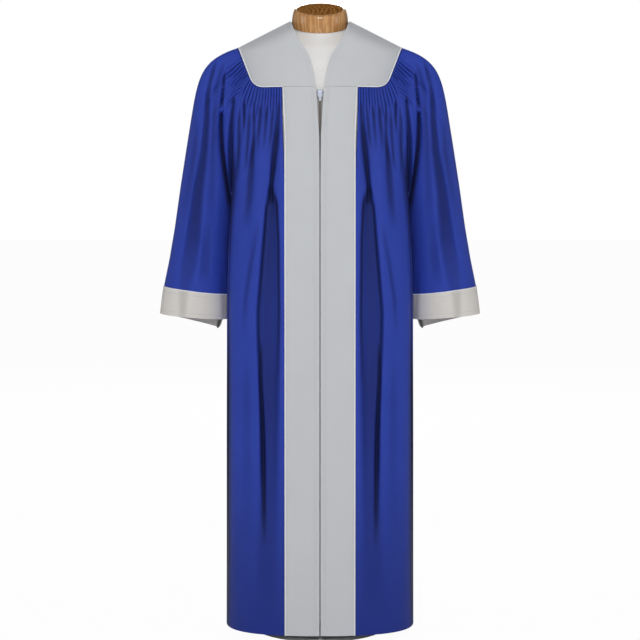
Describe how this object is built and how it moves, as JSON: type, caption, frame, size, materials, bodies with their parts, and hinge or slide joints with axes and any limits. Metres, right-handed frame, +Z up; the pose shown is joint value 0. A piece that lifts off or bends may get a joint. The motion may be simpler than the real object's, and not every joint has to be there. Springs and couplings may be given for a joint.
{
  "type": "choir robe on a limbless dress form",
  "caption": "Floor-length blue choir robe, fluted below a grey yoke, with grey zip-front bands and bell-sleeve cuffs, on a limbless dress form with a round base.",
  "frame": {"origin": "centre of the round base's underside, on the floor", "axes": "+X towards the wearer's left sleeve, -Y out of the robe's front, +Z up"},
  "size_m": [0.6992, 0.31, 1.3617],
  "materials": {
    "blue_cloth": "royal blue woven polyester, soft matt with a faint sheen",
    "grey_cloth": "silver-grey woven satin-back polyester, soft matt",
    "cuff_cloth": "silver-grey woven polyester, slightly warmer, soft matt",
    "zip_tape": "grey woven zip tape with a nylon coil",
    "zip_metal": "cast zinc with a bluish silver enamel",
    "white_jersey": "white stretch jersey cover",
    "wood": "turned and varnished wood",
    "white_steel": "white enamelled steel"
  },
  "bodies": {
    "robe": {"yoke_front_left": "grey_cloth", "yoke_front_right": "grey_cloth", "yoke_back": "grey_cloth", "band_left": "grey_cloth", "band_right": "grey_cloth", "front_left": "blue_cloth", "front_right": "blue_cloth", "back": "blue_cloth", "sleeve_left": "blue_cloth", "sleeve_right": "blue_cloth", "cuff_left": "cuff_cloth", "cuff_right": "cuff_cloth", "zip_tape_left": "zip_tape", "zip_tape_right": "zip_tape", "zip_slider": "zip_metal", "form_torso": "white_jersey", "form_neck_cap": "wood", "stand_pole": "white_steel", "stand_base": "white_steel"},
    "pull": {"zip_pull": "zip_metal"}
  },
  "joints": [
    {"name": "pull_swing", "type": "hinge", "parent": "robe", "child": "pull", "pos_m": [0, -0.1104, 1.1686], "axis": [-1, 0, 0], "range_deg": [0, 150]}
  ]
}
